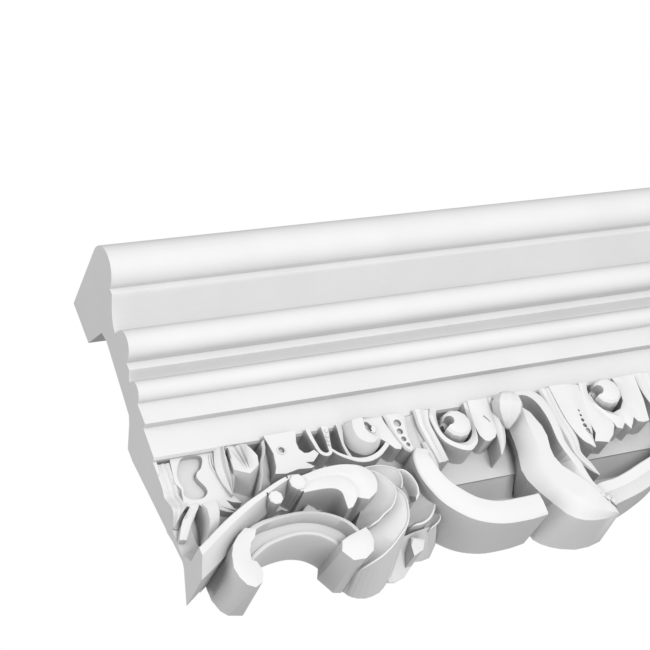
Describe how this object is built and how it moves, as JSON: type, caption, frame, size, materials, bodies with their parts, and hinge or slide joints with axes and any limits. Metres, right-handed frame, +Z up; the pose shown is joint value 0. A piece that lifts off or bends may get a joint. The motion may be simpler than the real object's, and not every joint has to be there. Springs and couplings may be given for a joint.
{
  "type": "panel moulding",
  "caption": "White cast wall moulding with beads and coves above a hanging border of carved scrolls, leaves, curls and ribbon swags.",
  "frame": {"origin": "middle of the upper wall land on the flat back, at half the length", "axes": "+X along the moulding, left to right as seen from the front; +Y into the wall; +Z up to the top face"},
  "size_m": [0.47, 0.077, 0.2608],
  "materials": {
    "white_plaster": "matt white cast plaster"
  },
  "bodies": {
    "root": {"panel_moulding": "white_plaster"}
  },
  "joints": []
}
